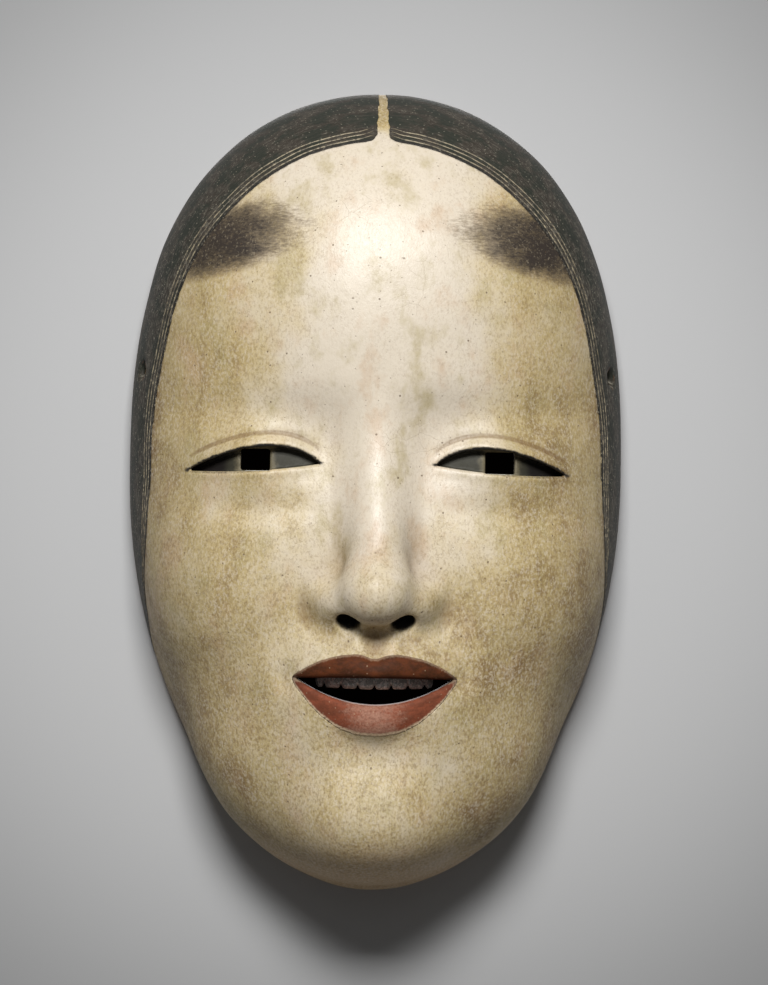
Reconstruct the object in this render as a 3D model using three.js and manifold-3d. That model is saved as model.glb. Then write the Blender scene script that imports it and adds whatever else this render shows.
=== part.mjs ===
// A noh mask of the young-woman type: a carved and hollowed cypress block, a shell-white coat on its face,
// black hair panels, red lip coats, a blackened row of upper teeth, painted eyes and a lacquered back.
//
// Frame: millimetres, +Z up to the crown, the face looks along -Y, and the flat back rim lies in the plane y = 0.
// The origin is the centre of that rim plane, half way up the mask.
//
// Every layer is described by how far it lies from the origin in each direction, so layers nest without touching.

import * as THREE from "three";
import { mergeVertices } from "three/addons/utils/BufferGeometryUtils.js";
import Module from "manifold-3d";

const wasm = await Module();
wasm.setup();

// ---------------------------------------------------------------- driving dimensions, millimetres

const HEIGHT = 212; // seven sun
const WIDTH = 131;
const CROWN_Z = HEIGHT / 2;
const WIDEST_Z = 5;
const EGG_DEPTH = 54; // the plain egg, before the forms that stand on it
const WALL = 8.5; // rim width, block and coats together
const COAT = 1.2; // shell-white ground and colour coats
const LACQUER = 0.8;
const GAP = 0.3; // between solids that touch on the real mask

const EYE_X = 32;
const EYE_Z = 6;
const EYE_HALF = 17;
const EYE_SET_BACK = 3.3; // painted eye surface behind the lids
const EYE_LAYER = 1;
const PUPIL = { width: 7.6, height: 5.6, inward: 0.5, up: 2 };

const MOUTH_HALF = 20;
const TEETH = { half: 15, high: -45.6, low: -50, count: 8, thick: 3.5 };

const CORD_HOLE = { radius: 2.5, z: 31, forward: 17 };

const HAIR_TAIL = -36; // degrees below the horizontal where a hair panel ends
const PARTING_HALF = 1.3; // half width of the bare parting

const OUTWARD = 130; // farther than any point of the mask
const FRONT = 80; // forward of the nose tip
const EYE_ROOT = 20; // the eye slits and the lip outlines are cut from here forward
const LIP_ROOT = 30;
const rad = THREE.MathUtils.degToRad;
const deg = THREE.MathUtils.radToDeg;

// ---------------------------------------------------------------- carving: signed distances to the forms
// Points are (x, f, z), where f = -y points forward, the way the face looks. Negative is inside the wood.

function smoothUnion(a, b, blend) {
  const h = THREE.MathUtils.clamp(0.5 + (0.5 * (b - a)) / blend, 0, 1);
  return THREE.MathUtils.lerp(b, a, h) - blend * h * (1 - h);
}

function smoothCut(a, b, blend) {
  return -smoothUnion(-a, b, blend);
}

function ellipsoid(x, f, z, [cx, cf, cz], [rx, rf, rz]) {
  const a = (x - cx) / rx;
  const b = (f - cf) / rf;
  const c = (z - cz) / rz;
  const near = Math.hypot(a, b, c) + 1e-6;
  const slope = Math.hypot(a / rx, b / rf, c / rz) + 1e-6;
  return (near * (near - 1)) / slope;
}

function taperedRod(x, f, z, [ax, af, az], [bx, bf, bz], ra, rb) {
  const start = new THREE.Vector3(ax, af, az);
  const along = new THREE.Vector3(bx, bf, bz).sub(start);
  const from = new THREE.Vector3(x, f, z).sub(start);
  const h = THREE.MathUtils.clamp(from.dot(along) / along.lengthSq(), 0, 1);
  return from.addScaledVector(along, -h).length() - THREE.MathUtils.lerp(ra, rb, h);
}

// 0 at the widest height, 1 at the crown and at the bottom of the chin, which narrows sooner than an ellipse.
function heightLevel(z, crown = CROWN_Z) {
  const up = Math.max(0, (z - WIDEST_Z) / (crown - WIDEST_Z));
  const down = Math.max(0, (WIDEST_Z - z) / (WIDEST_Z + crown));
  return up ** 2.6 + down ** 2 * (1 + 0.6 * down * (1 - down));
}

// An egg of that outline, as a distance from its surface along the way out from its middle.
function egg(x, f, z, half, depth, crown) {
  const sum = Math.abs(x / half) ** 2.1 + Math.abs(f / depth) ** 2.2 + heightLevel(z, crown);
  const reach = sum ** (1 / 2.15);
  return (1 - 1 / Math.max(reach, 1e-3)) * Math.hypot(x, f, z);
}

// A soft rise or dip on the front of the face, about a place given by its distance from the middle and its height.
function swell(x, f, z, [cx, cz], [rx, rz]) {
  const front = THREE.MathUtils.clamp((f - 15) / 15, 0, 1);
  return front * Math.exp(-(((Math.abs(x) - cx) / rx) ** 2) - ((z - cz) / rz) ** 2);
}

function outside(x, f, z) {
  const m = Math.abs(x);
  let d = egg(x, f, z, WIDTH / 2, EGG_DEPTH, CROWN_Z);
  d = smoothUnion(d, ellipsoid(x, f, z, [0, 18, 50], [55, 37, 50]), 10); // forehead
  d = smoothUnion(d, ellipsoid(m, f, z, [27, 25, -22], [28, 26, 33]), 13); // cheek
  d = smoothUnion(d, ellipsoid(x, f, z, [0, 22, -64], [44, 31, 37]), 13); // jaw
  d = smoothUnion(d, ellipsoid(x, f, z, [0, 27, -48], [30, 29, 24]), 12); // muzzle
  d = smoothUnion(d, ellipsoid(x, f, z, [0, 35, -84], [20, 21, 15.5]), 10); // chin
  d = smoothCut(d, ellipsoid(m, f, z, [18.5, 63.8, 12], [14, 12.8, 12]), 10); // eye socket
  d += 1.1 * swell(x, f, z, [35, 20], [19, 5.5]); // under the brow
  d -= 2.9 * swell(x, f, z, [EYE_X - 0.5, EYE_Z + 2.5], [15, 8.5]); // the eye under its lids
  d += 1.0 * swell(x, f, z, [30, -4.5], [15, 4]); // below the lids
  d = smoothUnion(d, noseForm(x, f, z), 6);
  d += 1.1 * swell(x, f, z, [0, -39], [2.8, 4]); // groove of the upper lip
  d = smoothCut(d, ellipsoid(x, f, z, [0, 69, -68], [20, 13.5, 5.5]), 7); // under the lower lip
  return smoothUnion(d, lipForm(x, f, z), 3);
}

function noseForm(x, f, z) {
  const ridge = taperedRod(x, f, z, [0, 42.5, 24], [0, 58, -24], 8.2, 7.4);
  const tip = ellipsoid(x, f, z, [0, 58.8, -26], [9, 9.5, 7.6]);
  const wing = ellipsoid(Math.abs(x), f, z, [10.6, 51.8, -28], [6.4, 7.8, 5.8]);
  return smoothUnion(smoothUnion(ridge, tip, 6), wing, 5);
}

function lipForm(x, f, z) {
  const t = Math.min(Math.abs(x) / MOUTH_HALF, 1.1);
  const arch = 55.2 - 6.5 * t * t;
  const upper = Math.hypot(0.84 * (f - arch), z + 45.1 + 1.8 * t ** 2.2) - 3.3 * (1 - 0.6 * t ** 2.5);
  const lower = Math.hypot(0.87 * (f - arch + 2.2), z + 58.4 - 10.4 * t ** 2) - 4 * (1 - 0.6 * t ** 2.2);
  return Math.max(Math.min(upper, lower), Math.abs(x) - MOUTH_HALF - 1);
}

function hollow(x, f, z) {
  const dome = egg(x, f, z, WIDTH / 2 - WALL, EGG_DEPTH - WALL - 0.5, CROWN_Z - WALL);
  const jaw = ellipsoid(x, f, z, [0, 16, -60], [36, 30, 34]);
  const noseHollow = ellipsoid(x, f, z, [0, 40, -20], [12, 17, 20]);
  return smoothUnion(smoothUnion(dome, jaw, 10), noseHollow, 8);
}

// ---------------------------------------------------------------- directions and layers

// Directions fan out from the upper lip, the finest of the carving, to the rim. A direction is given by the rim point
// it runs towards, by its turn from +X over the crown, and by the angle it has gone from the upper lip.
const MIDDLE = new THREE.Vector3(0, -Math.cos(rad(30)), -Math.sin(rad(30)));
const FORWARD = new THREE.Vector3(0, -1, 0);

const rimDirection = (turn) => new THREE.Vector3(Math.cos(rad(turn)), 0, Math.sin(rad(turn)));
const wholeAngle = (turn) => deg(MIDDLE.angleTo(rimDirection(turn)));

function direction(turn, angle) {
  const whole = wholeAngle(turn);
  const way = MIDDLE.clone().multiplyScalar(Math.sin(rad(whole - angle)));
  way.addScaledVector(rimDirection(turn), Math.sin(rad(angle))).divideScalar(Math.sin(rad(whole)));
  return angle >= whole ? rimDirection(turn) : way;
}

// How far from the origin a form's surface lies in a direction, looked for from the outside in.
function distanceTo(form, way) {
  const value = (r) => form(way.x * r, -way.y * r, way.z * r);
  let far = OUTWARD;
  while (value(far) > 0 && far > 5) far -= 1;
  let near = far;
  far += 1;
  for (let i = 0; i < 12; i += 1) {
    const middle = (near + far) / 2;
    if (value(middle) > 0) far = middle;
    else near = middle;
  }
  return far;
}

// How much farther a ray runs through a coat than straight across it, because the surface leans.
function slant(way, r) {
  const at = (dx, df, dz) => outside(way.x * r + dx, -way.y * r + df, way.z * r + dz);
  const step = 0.5;
  const normal = new THREE.Vector3(
    at(step, 0, 0) - at(-step, 0, 0),
    -(at(0, step, 0) - at(0, -step, 0)),
    at(0, 0, step) - at(0, 0, -step),
  ).normalize();
  return 1 / Math.max(0.6, way.dot(normal));
}

// Where the hair begins: the tilt of the hairline at each turn, from the parting round to the tail.
const HAIRLINE = new THREE.SplineCurve([
  new THREE.Vector2(-90, 87),
  new THREE.Vector2(HAIR_TAIL - 6, 87),
  new THREE.Vector2(HAIR_TAIL, 86),
  new THREE.Vector2(-20, 71.5),
  new THREE.Vector2(0, 66.6),
  new THREE.Vector2(35, 65.6),
  new THREE.Vector2(62, 64.8),
  new THREE.Vector2(90, 66.2),
]).getPoints(90);

function hairline(turn) {
  const t = 90 - Math.abs(90 - (turn > 270 ? turn - 360 : turn)); // both sides alike
  const i = HAIRLINE.findIndex((p) => p.x >= t - 1e-9);
  if (i <= 0) return HAIRLINE[0].y;
  const [a, b] = [HAIRLINE[i - 1], HAIRLINE[i]];
  return THREE.MathUtils.mapLinear(t, a.x, b.x, a.y, b.y);
}

// The angle along the way to a rim point at which the hairline is crossed.
function hairlineAngle(turn) {
  let [low, high] = [0, wholeAngle(turn)];
  for (let i = 0; i < 20; i += 1) {
    const angle = (low + high) / 2;
    const way = direction(turn, angle);
    const around = (deg(Math.atan2(way.z, way.x)) + 450) % 360 - 90;
    if (deg(way.angleTo(FORWARD)) > hairline(around)) high = angle;
    else low = angle;
  }
  return high;
}

const evenly = (from, to, steps) => Array.from({ length: steps + 1 }, (_, i) => from + ((to - from) * i) / steps);

const GAP_TURN = deg(GAP / 80);
const PARTING_TURN = deg(PARTING_HALF / 97);
const RIGHT_HAIR = [HAIR_TAIL + GAP_TURN, 90 - PARTING_TURN - GAP_TURN];
const LEFT_HAIR = [90 + PARTING_TURN + GAP_TURN, 180 - HAIR_TAIL - GAP_TURN];
const TURNS = [
  ...evenly(...RIGHT_HAIR, 22),
  ...evenly(90 - PARTING_TURN, 90 + PARTING_TURN, 1),
  ...evenly(...LEFT_HAIR, 22),
  ...evenly(180 - HAIR_TAIL, 360 + HAIR_TAIL, 18),
]; // round once, and closed by the step from the last to the first

// Rows along each way: closer together by the mouth and nose, then a gap row at the hairline, then the hair.
const FACE_ROWS = 19;
const HAIR_ROWS = 3;
const INNER_ROWS = 9;
function anglesAt(turn) {
  const edge = hairlineAngle(turn);
  const gap = deg(GAP / distanceTo(outside, direction(turn, edge)));
  const face = evenly(0, 1, FACE_ROWS).map((k) => (edge - gap) * k ** 1.25);
  return [...face, ...evenly(edge, wholeAngle(turn), HAIR_ROWS)];
}

const waysOf = (anglesOf) => TURNS.map((turn) => anglesOf(turn).map((angle) => direction(turn, angle)));
const OUTER_GRID = waysOf(anglesAt);
const INNER_GRID = waysOf((turn) => evenly(0, 1, INNER_ROWS).map((k) => wholeAngle(turn) * k ** 1.15));

// The distance of each layer in each direction of a grid. Depth is measured across the coat.
const overGrid = (grid, distance) => grid.map((column) => column.map(distance));
const FACE_DISTANCE = new Map();
function faceDistance(way) {
  if (!FACE_DISTANCE.has(way)) {
    const r = distanceTo(outside, way);
    FACE_DISTANCE.set(way, { r, slant: slant(way, r) });
  }
  return FACE_DISTANCE.get(way);
}

function layerBelowFace(depth) {
  return overGrid(OUTER_GRID, (way) => faceDistance(way).r - depth * faceDistance(way).slant);
}

function layerAboveHollow(height) {
  return overGrid(INNER_GRID, (way) => Math.min(distanceTo(hollow, way), faceDistance(way).r - COAT - 4) + height);
}

// ---------------------------------------------------------------- meshes from layers

const pointAt = (way, distance) => way.clone().multiplyScalar(distance);

// A closed solid between two layers, over the cells of the grid that `taken` picks.
function layerSolid(outerGrid, outer, innerGrid, inner, taken = () => true) {
  const positions = [];
  const triangle = (...corners) => {
    const [a, b, c] = corners;
    if (a.distanceTo(b) < 1e-3 || b.distanceTo(c) < 1e-3 || c.distanceTo(a) < 1e-3) return;
    corners.forEach((p) => positions.push(p.x, p.y, p.z));
  };
  const quad = (a, b, c, d) => {
    triangle(a, b, c);
    triangle(a, c, d);
  };
  const sheet = (grid, layer, facing, cellTaken) => {
    const count = grid.length;
    const at = (i, j) => pointAt(grid[i % count][j], layer[i % count][j]);
    for (let i = 0; i < count; i += 1)
      for (let j = 0; j + 1 < grid[0].length; j += 1)
        if (cellTaken(i, j)) {
          const corners = [at(i, j), at(i, j + 1), at(i + 1, j + 1), at(i + 1, j)];
          quad(...(facing > 0 ? corners : [corners[0], corners[3], corners[2], corners[1]]));
        }
  };
  sheet(outerGrid, outer, 1, taken);
  sheet(innerGrid, inner, -1, taken);
  walls(outerGrid, outer, innerGrid, inner, taken, quad);
  const geometry = new THREE.BufferGeometry();
  geometry.setAttribute("position", new THREE.Float32BufferAttribute(positions, 3));
  return mergeVertices(geometry, 1e-3);
}

// The side walls of a layer solid, along every edge between a taken cell and one that isn't.
function walls(outerGrid, outer, innerGrid, inner, taken, quad) {
  const count = outerGrid.length;
  const lastOuter = outerGrid[0].length - 1;
  const lastInner = innerGrid[0].length - 1;
  const top = (i, j) => pointAt(outerGrid[i % count][j], outer[i % count][j]);
  const low = (i, j) => {
    const row = j === lastOuter ? lastInner : j;
    return pointAt(innerGrid[i % count][row], inner[i % count][row]);
  };
  const has = (i, j) => j >= 0 && j < lastOuter && taken((i + count) % count, j);
  for (let i = 0; i < count; i += 1)
    for (let j = 0; j < lastOuter; j += 1) {
      if (!has(i, j)) continue;
      if (!has(i, j + 1)) quad(top(i + 1, j + 1), top(i, j + 1), low(i, j + 1), low(i + 1, j + 1));
      if (j > 0 && !has(i, j - 1)) quad(top(i, j), top(i + 1, j), low(i + 1, j), low(i, j));
      if (!has(i - 1, j)) quad(top(i, j + 1), top(i, j), low(i, j), low(i, j + 1));
      if (!has(i + 1, j)) quad(top(i + 1, j), top(i + 1, j + 1), low(i + 1, j + 1), low(i + 1, j));
    }
}

const isHair = (range) => (i, j) => {
  const middle = (TURNS[i] + (TURNS[i + 1] ?? 360 + TURNS[0])) / 2;
  return middle > range[0] && middle < range[1] && j > FACE_ROWS;
};
const isRightHair = isHair(RIGHT_HAIR);
const isLeftHair = isHair(LEFT_HAIR);

// The coat leaves a narrow gap round each hair panel.
function isFaceCoat(i, j) {
  if (isRightHair(i, j) || isLeftHair(i, j)) return false;
  const count = TURNS.length;
  const hairBeside = [i - 1, i + 1].some((k) => isRightHair((k + count) % count, j) || isLeftHair((k + count) % count, j));
  const hairBeyond = isRightHair(i, j + 1) || isLeftHair(i, j + 1);
  return !hairBeside && !hairBeyond;
}

// ---------------------------------------------------------------- solids for manifold-3d

function solid(geometry) {
  const bare = (geometry.index ? geometry.toNonIndexed() : geometry).clone();
  bare.deleteAttribute("normal");
  bare.deleteAttribute("uv");
  const merged = mergeVertices(bare, 1e-3);
  return new wasm.Manifold(
    new wasm.Mesh({
      numProp: 3,
      vertProperties: merged.attributes.position.array,
      triVerts: new Uint32Array(merged.index.array),
    }),
  );
}

function geometryOf(made) {
  const { vertProperties, triVerts } = made.getMesh();
  const geometry = new THREE.BufferGeometry();
  geometry.setAttribute("position", new THREE.BufferAttribute(vertProperties, 3));
  geometry.setIndex(new THREE.BufferAttribute(triVerts, 1));
  geometry.computeVertexNormals();
  return geometry;
}

// A prism along Y of an outline in X and Z, from one forward distance to another.
function prism(points, fromForward, toForward) {
  const shape = new THREE.Shape(points.map(([x, z]) => new THREE.Vector2(x, z)));
  const geometry = new THREE.ExtrudeGeometry(shape, { depth: toForward - fromForward, bevelEnabled: false });
  geometry.rotateX(Math.PI / 2);
  return solid(geometry.translate(0, -fromForward, 0));
}

const bothSides = (make) => [make(-1), make(1)];
const cutAll = (body, tools) => tools.reduce((left, tool) => left.subtract(tool), body);

// ---------------------------------------------------------------- openings

// Upper and lower edge of an eye slit at t, from -1 at the nose end to 1 at the temple end.
function slitEdges(t) {
  const skewed = t + 0.16 * (1 - t * t);
  const tail = EYE_Z - 1.1 * t;
  return { up: tail + 5.2 * Math.max(0, 1 - skewed * skewed) ** 0.85, low: tail - 0.9 * (1 - t * t) };
}

function eyeSlit(side, grow) {
  const half = EYE_HALF + grow;
  const across = evenly(-1, 1, 10);
  const x = (t) => side * (EYE_X + half * t);
  const lower = across.map((t) => [x(t), slitEdges(t).low - grow]);
  const upper = across.map((t) => [x(t), slitEdges(t).up + grow]).reverse();
  const outline = grow > 0 ? [...lower, ...upper] : [...lower, ...upper.slice(1, -1)];
  return prism(side > 0 ? outline : outline.reverse(), EYE_ROOT, FRONT);
}

function pupil(side, grow) {
  const size = [PUPIL.width + 2 * grow, 60, PUPIL.height + 2 * grow];
  const box = new THREE.BoxGeometry(...size);
  return solid(box.translate(side * (EYE_X - PUPIL.inward), -50, EYE_Z + PUPIL.up));
}

const openingTop = (t) => -46.4 - 1.4 * t * t;
const openingLow = (t) => -55.4 + 7 * t * t;

// An outline between two edges over the mouth, widened by grow.
function mouthOutline(top, low, half, grow, steps = 14) {
  const across = evenly(-1, 1, steps);
  const lower = across.map((t) => [(half + grow) * t, low(t) - grow]);
  const upper = across.map((t) => [(half + grow) * t, top(t) + grow]).reverse();
  return [...lower, ...upper];
}

const mouthOpening = (grow) => prism(mouthOutline(openingTop, openingLow, MOUTH_HALF - 0.5, grow), 5, FRONT);

function nostril(side) {
  const start = new THREE.Vector3(side * 7.6, -62, -34.5);
  const end = new THREE.Vector3(side * 6, -38, -22);
  const along = end.clone().sub(start);
  const rod = new THREE.CylinderGeometry(2.7, 3, along.length(), 10);
  rod.applyQuaternion(new THREE.Quaternion().setFromUnitVectors(new THREE.Vector3(0, 1, 0), along.clone().normalize()));
  const middle = start.add(end).multiplyScalar(0.5);
  return solid(rod.translate(middle.x, middle.y, middle.z));
}

function cordHole(side) {
  const rod = new THREE.CylinderGeometry(CORD_HOLE.radius, CORD_HOLE.radius, 40, 12);
  rod.rotateZ(Math.PI / 2);
  return solid(rod.translate(side * 60, -CORD_HOLE.forward, CORD_HOLE.z));
}

const throughOpenings = () => [
  ...bothSides(nostril),
  ...bothSides(cordHole),
  ...bothSides((side) => pupil(side, 0)),
  mouthOpening(0),
];

// ---------------------------------------------------------------- the lips

const lipPeak = (t) => -41.6 - 1.1 * Math.exp(-((t * 8) ** 2)) - 6 * Math.abs(t) ** 2.4;
const lipFoot = (t) => -61.9 + 13.1 * Math.abs(t) ** 2.2;
const upperLipOutline = (grow) => mouthOutline(lipPeak, openingTop, MOUTH_HALF, grow, 20);
const lowerLipOutline = (grow) => mouthOutline(openingLow, lipFoot, MOUTH_HALF - 1.5, grow, 16);

// ---------------------------------------------------------------- the pieces

const faceSkin = layerBelowFace(0);
const coatFoot = layerBelowFace(COAT);
const blockTop = layerBelowFace(COAT + GAP);
const hollowSkin = layerAboveHollow(0);
const lacquerTop = layerAboveHollow(LACQUER);
const blockFoot = layerAboveHollow(LACQUER + GAP);

const coatOver = (taken) => solid(layerSolid(OUTER_GRID, faceSkin, OUTER_GRID, coatFoot, taken));

// The space in front of a layer that lies `depth` below the face, for sinking the eyes.
function spaceOver(depth) {
  const far = overGrid(OUTER_GRID, () => OUTWARD);
  return solid(layerSolid(OUTER_GRID, far, OUTER_GRID, layerBelowFace(depth)));
}

function makeCore() {
  const block = solid(layerSolid(OUTER_GRID, blockTop, INNER_GRID, blockFoot));
  const pocketSpace = spaceOver(EYE_SET_BACK + EYE_LAYER + GAP);
  const pockets = bothSides((side) => eyeSlit(side, 1 + GAP).intersect(pocketSpace));
  return cutAll(block, [...throughOpenings(), ...pockets, teethBar(GAP)]);
}

function makeFaceCoat() {
  const lips = [upperLipOutline(GAP), lowerLipOutline(GAP)].map((outline) => prism(outline, LIP_ROOT, FRONT));
  const slits = bothSides((side) => eyeSlit(side, 0));
  return cutAll(coatOver(isFaceCoat), [...throughOpenings(), ...slits, ...lips]);
}

function makeLip(outline) {
  return coatOver(isFaceCoat).intersect(prism(outline, LIP_ROOT, FRONT)).subtract(mouthOpening(0));
}

function makeEye(side) {
  const layer = spaceOver(EYE_SET_BACK + EYE_LAYER).subtract(spaceOver(EYE_SET_BACK));
  return eyeSlit(side, 1).intersect(layer).subtract(pupil(side, 0));
}

// A bar that follows the arch of the lips, and the seat for it in the block when it is grown.
const teethArch = (x) => 50.5 - 7 * (x / MOUTH_HALF) ** 2;
function teethBar(grow) {
  const half = TEETH.half + grow;
  const across = evenly(-half, half, 12);
  const front = across.map((x) => new THREE.Vector2(x, -teethArch(x) - grow));
  const back = across.map((x) => new THREE.Vector2(x, -teethArch(x) + TEETH.thick + grow)).reverse();
  const bar = new THREE.ExtrudeGeometry(new THREE.Shape([...front, ...back]), {
    depth: TEETH.high - TEETH.low + 2 * grow,
    bevelEnabled: false,
  });
  return solid(bar.translate(0, 0, TEETH.low - grow));
}

// The row of teeth, with a notch between neighbours.
function makeTeeth() {
  const pitch = (2 * TEETH.half) / TEETH.count;
  const notches = evenly(-TEETH.half + pitch, TEETH.half - pitch, TEETH.count - 2).map((x) => {
    const notch = new THREE.BoxGeometry(0.5, 1.2, 20);
    return solid(notch.translate(x, -teethArch(x), TEETH.low));
  });
  return cutAll(teethBar(0), notches);
}

// ---------------------------------------------------------------- materials and assembly

const paint = (color, roughness) => new THREE.MeshStandardMaterial({ color, roughness, metalness: 0 });
const MATERIALS = {
  cypress: paint(0x8a6a45, 0.7),
  lacquer: paint(0x2a1c14, 0.35),
  gofun: paint(0xd8c7a2, 0.4),
  ink: paint(0x2b2724, 0.6),
  upperRed: paint(0x6a2a1f, 0.5),
  lowerRed: paint(0xa3452f, 0.5),
  blackened: paint(0x1b1816, 0.4),
  eyePaint: paint(0x8d8670, 0.5),
};

function piece(name, made, material) {
  const mesh = new THREE.Mesh(geometryOf(made), material);
  mesh.name = name;
  return mesh;
}

const mask = new THREE.Group();
mask.add(
  piece("cypress_core", makeCore(), MATERIALS.cypress),
  piece(
    "back_lacquer",
    cutAll(solid(layerSolid(INNER_GRID, lacquerTop, INNER_GRID, hollowSkin)), throughOpenings()),
    MATERIALS.lacquer,
  ),
  piece("face_coat", makeFaceCoat(), MATERIALS.gofun),
  piece("hair_left", cutAll(coatOver(isLeftHair), bothSides(cordHole)), MATERIALS.ink),
  piece("hair_right", cutAll(coatOver(isRightHair), bothSides(cordHole)), MATERIALS.ink),
  piece("upper_lip", makeLip(upperLipOutline(0)), MATERIALS.upperRed),
  piece("lower_lip", makeLip(lowerLipOutline(0)), MATERIALS.lowerRed),
  piece("upper_teeth", makeTeeth(), MATERIALS.blackened),
  piece("eye_left", makeEye(-1), MATERIALS.eyePaint),
  piece("eye_right", makeEye(1), MATERIALS.eyePaint),
);

export default mask;
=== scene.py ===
"""A noh mask of the young-woman type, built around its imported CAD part.

The mask is carved as a field, the way a carver shapes the block: each form is a signed distance in
millimetres, with x to the right, f forward (the way the face looks, -Y of the frame) and z up. The surface
of the field is divided along its painted edges into the coats that a maker lays on: shell-white ground,
hair, lips and eyes, and the lacquer at the back.
"""

import math

import bpy
import numpy as np
from mathutils import Matrix, Vector


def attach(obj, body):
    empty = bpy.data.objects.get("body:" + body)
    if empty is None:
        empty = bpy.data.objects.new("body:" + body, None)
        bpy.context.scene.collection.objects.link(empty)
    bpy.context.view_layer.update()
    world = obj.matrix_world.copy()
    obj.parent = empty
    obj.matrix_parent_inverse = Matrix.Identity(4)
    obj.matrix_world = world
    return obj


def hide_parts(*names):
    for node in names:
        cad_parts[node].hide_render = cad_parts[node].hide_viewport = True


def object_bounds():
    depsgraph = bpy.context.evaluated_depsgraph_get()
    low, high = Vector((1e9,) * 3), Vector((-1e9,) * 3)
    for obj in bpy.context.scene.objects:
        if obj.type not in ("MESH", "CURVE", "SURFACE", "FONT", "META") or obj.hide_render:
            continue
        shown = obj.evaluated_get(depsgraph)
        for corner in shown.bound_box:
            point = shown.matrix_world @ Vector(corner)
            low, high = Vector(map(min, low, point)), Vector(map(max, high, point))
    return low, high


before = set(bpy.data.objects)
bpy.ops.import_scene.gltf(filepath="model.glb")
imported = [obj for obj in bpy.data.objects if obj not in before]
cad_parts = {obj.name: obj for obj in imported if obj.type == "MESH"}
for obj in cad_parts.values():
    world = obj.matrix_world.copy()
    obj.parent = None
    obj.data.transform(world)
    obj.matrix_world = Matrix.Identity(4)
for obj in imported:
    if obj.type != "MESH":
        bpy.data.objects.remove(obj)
cad_low, cad_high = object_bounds()

# ------------ driving dimensions, millimetres

MM = 1000.0
HALF_WIDTH = (cad_high.x - cad_low.x) * MM / 2
CROWN_Z = (cad_high.z - cad_low.z) * MM / 2
WIDEST_Z = 5.0
EGG_DEPTH = 54.0  # the plain egg, before the forms that stand on it
RIM = 8.5  # width of the flat back rim
COAT = 0.5  # ground and colour on the face
COAT_KEY = 0.2  # how far a coat goes into the block, so that no gap shows
HAIR_PROUD, LIP_PROUD = 0.08, 0.1  # thickness of the colour over the ground
LACQUER = 0.4

EYE_X, EYE_Z, EYE_HALF = 32.0, 6.0, 17.0
EYE_BACK = 3.2  # painted eye surface behind the lids
PUPIL = (7.6, 5.6)  # width and height
PUPIL_SHIFT = (-0.5, 2.0)  # from the middle of the eye
MOUTH_HALF, LIP_HALF = 20.0, 21.2  # half widths of the opening and of the paint
CORD_HOLE = (17.0, 31.0, 2.4)  # f, z, radius

FINE, MEDIUM, COARSE = 0.62, 1.3, 1.45  # mesh steps: features, face, block

# ------------ shapes as signed distances


def smooth_union(a, b, blend):
    h = np.clip(0.5 + 0.5 * (b - a) / blend, 0, 1)
    return b + (a - b) * h - blend * h * (1 - h)


def smooth_cut(a, b, blend):
    """What is left of a when b is cut out of it."""
    return -smooth_union(-a, b, blend)


def ellipsoid(x, f, z, at, radii):
    a, b, c = (x - at[0]) / radii[0], (f - at[1]) / radii[1], (z - at[2]) / radii[2]
    near = np.sqrt(a * a + b * b + c * c) + 1e-6
    slope = np.sqrt((a / radii[0]) ** 2 + (b / radii[1]) ** 2 + (c / radii[2]) ** 2) + 1e-6
    return near * (near - 1) / slope


def tapered_rod(x, f, z, start, end, start_radius, end_radius):
    along = np.subtract(end, start)
    from_start = (x - start[0], f - start[1], z - start[2])
    h = sum(p * d for p, d in zip(from_start, along)) / float(along @ along)
    h = np.clip(h, 0, 1)
    away = sum((p - h * d) ** 2 for p, d in zip(from_start, along))
    return np.sqrt(away) - (start_radius + h * (end_radius - start_radius))


def height_level(z, crown):
    """0 at the widest height, 1 at the crown and at the bottom of the chin."""
    up = np.clip((z - WIDEST_Z) / (crown - WIDEST_Z), 0, 2)
    down = np.clip((WIDEST_Z - z) / (WIDEST_Z + crown), 0, 2)
    return up**2.6 + down**2 * (1 + 0.6 * down * (1 - down))


def egg(x, f, z, half, depth, crown):
    """Distance to the plain egg that the mask is carved from."""
    p, q = 2.1, 2.2
    total = (np.abs(x) / half) ** p + (np.abs(f) / depth) ** q + height_level(z, crown) + 1e-9
    reach = total ** (2 / (p + q))
    step = 0.05
    slope_x = p / half * (np.abs(x) / half) ** (p - 1)
    slope_f = q / depth * (np.abs(f) / depth) ** (q - 1)
    slope_z = (height_level(z + step, crown) - height_level(z - step, crown)) / (2 * step)
    slope = 2 / (p + q) * reach / total * np.sqrt(slope_x**2 + slope_f**2 + slope_z**2) + 1e-5
    return (reach - 1) / slope


def front(f, start=15.0, width=15.0):
    """0 at the sides and back, 1 on the front of the face."""
    return np.clip((f - start) / width, 0, 1)


def swell(m, z, at, size):
    """A soft rise about a place given by its distance m from the middle and its height."""
    return np.exp(-(((m - at[0]) / size[0]) ** 2) - ((z - at[1]) / size[1]) ** 2)


# ------------ carving


def head_forms(x, f, z):
    d = egg(x, f, z, HALF_WIDTH, EGG_DEPTH, CROWN_Z)
    for middle, radii, blend in (
        ((0, 18, 50), (55, 37, 50), 10),  # forehead
        ((27, 25, -22), (28, 26, 33), 13),  # cheeks
        ((0, 22, -64), (44, 31, 37), 13),  # jaw
        ((0, 27, -48), (30, 29, 24), 12),  # muzzle
        ((0, 35, -84), (20, 21, 15.5), 10),  # chin
    ):
        d = smooth_union(d, ellipsoid(np.abs(x), f, z, middle, radii), blend)
    return d


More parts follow.
